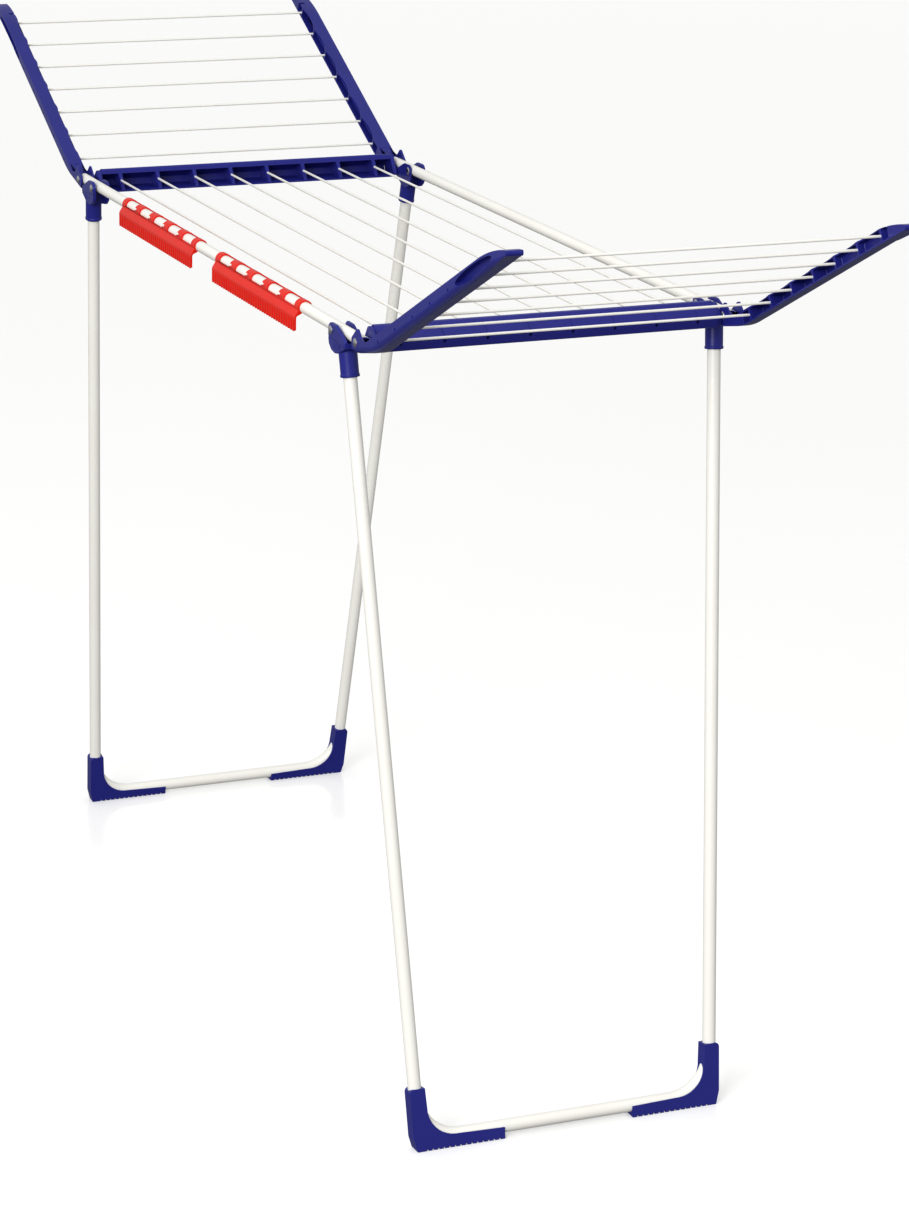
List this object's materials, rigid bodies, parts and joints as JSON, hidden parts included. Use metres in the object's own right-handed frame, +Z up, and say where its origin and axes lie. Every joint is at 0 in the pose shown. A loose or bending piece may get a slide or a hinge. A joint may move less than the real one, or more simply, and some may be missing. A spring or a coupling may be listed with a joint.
{
  "type": "clothes drying rack",
  "caption": "Folding free-standing clothes drying rack: coated wires in a tube frame on two splayed U-shaped legs, tilting wings and clip-on holders for small items.",
  "frame": {"origin": "centre of the footprint, on the floor", "axes": "+X along the rack towards its near end, +Y across it to its right side, +Z up"},
  "size_m": [2.1094, 0.5486, 1.2791],
  "materials": {
    "powder_coated_tube": "cream-white powder coat, satin",
    "coated_wire": "smooth white plastic-coated steel wire",
    "navy_plastic": "moulded navy blue, semi-gloss",
    "red_plastic": "moulded orange-red, semi-gloss",
    "rivet_steel": "bright zinc-plated steel"
  },
  "bodies": {
    "frame": {"side_rail_left": "powder_coated_tube", "side_rail_right": "powder_coated_tube", "rail_end_plugs": "navy_plastic", "crossbar_near": "navy_plastic", "crossbar_far": "navy_plastic", "main_wire_1": "coated_wire", "main_wire_2": "coated_wire", "main_wire_3": "coated_wire", "main_wire_4": "coated_wire", "main_wire_5": "coated_wire", "main_wire_6": "coated_wire", "main_wire_7": "coated_wire", "main_wire_8": "coated_wire", "near_corner_bracket_left": "navy_plastic", "near_corner_bracket_right": "navy_plastic", "far_corner_bracket_left": "navy_plastic", "far_corner_bracket_right": "navy_plastic", "near_leg_pivot_rivets": "rivet_steel", "near_wing_pivot_rivets": "rivet_steel", "far_leg_pivot_rivets": "rivet_steel", "far_wing_pivot_rivets": "rivet_steel"},
    "near_leg": {"near_leg_tube": "powder_coated_tube", "near_leg_head_left": "navy_plastic", "near_leg_head_right": "navy_plastic", "near_foot_shoe_left": "navy_plastic", "near_foot_shoe_right": "navy_plastic"},
    "far_leg": {"far_leg_tube": "powder_coated_tube", "far_leg_head_left": "navy_plastic", "far_leg_head_right": "navy_plastic", "far_foot_shoe_left": "navy_plastic", "far_foot_shoe_right": "navy_plastic"},
    "near_wing": {"near_wing_arm_left": "navy_plastic", "near_wing_arm_right": "navy_plastic", "near_wing_wire_1": "coated_wire", "near_wing_wire_2": "coated_wire", "near_wing_wire_3": "coated_wire", "near_wing_wire_4": "coated_wire", "near_wing_wire_5": "coated_wire", "near_wing_wire_6": "coated_wire", "near_wing_wire_7": "coated_wire"},
    "far_wing": {"far_wing_arm_left": "navy_plastic", "far_wing_arm_right": "navy_plastic", "far_wing_wire_1": "coated_wire", "far_wing_wire_2": "coated_wire", "far_wing_wire_3": "coated_wire", "far_wing_wire_4": "coated_wire", "far_wing_wire_5": "coated_wire", "far_wing_wire_6": "coated_wire", "far_wing_wire_7": "coated_wire"},
    "holder_near": {"small_item_holder_near": "red_plastic"},
    "holder_far": {"small_item_holder_far": "red_plastic"}
  },
  "joints": [
    {"name": "near_leg_fold", "type": "hinge", "parent": "frame", "child": "near_leg", "pos_m": [0.512, 0, 1.07], "axis": [0, 1, 0], "range_deg": [0, 98.8]},
    {"name": "far_leg_fold", "type": "hinge", "parent": "frame", "child": "far_leg", "pos_m": [-0.512, 0, 1.07], "axis": [0, -1, 0], "range_deg": [0, 95.8]},
    {"name": "near_wing_fold", "type": "hinge", "parent": "frame", "child": "near_wing", "pos_m": [0.59, 0, 1.07], "axis": [0, -1, 0], "range_deg": [0, 151]},
    {"name": "far_wing_fold", "type": "hinge", "parent": "frame", "child": "far_wing", "pos_m": [-0.59, 0, 1.07], "axis": [0, 1, 0], "range_deg": [0, 151]},
    {"name": "near_holder_slide", "type": "slide", "parent": "frame", "child": "holder_near", "axis": [1, 0, 0], "range_m": [-0.04, 0.05]},
    {"name": "far_holder_slide", "type": "slide", "parent": "frame", "child": "holder_far", "axis": [1, 0, 0], "range_m": [-0.07, 0.04]}
  ]
}
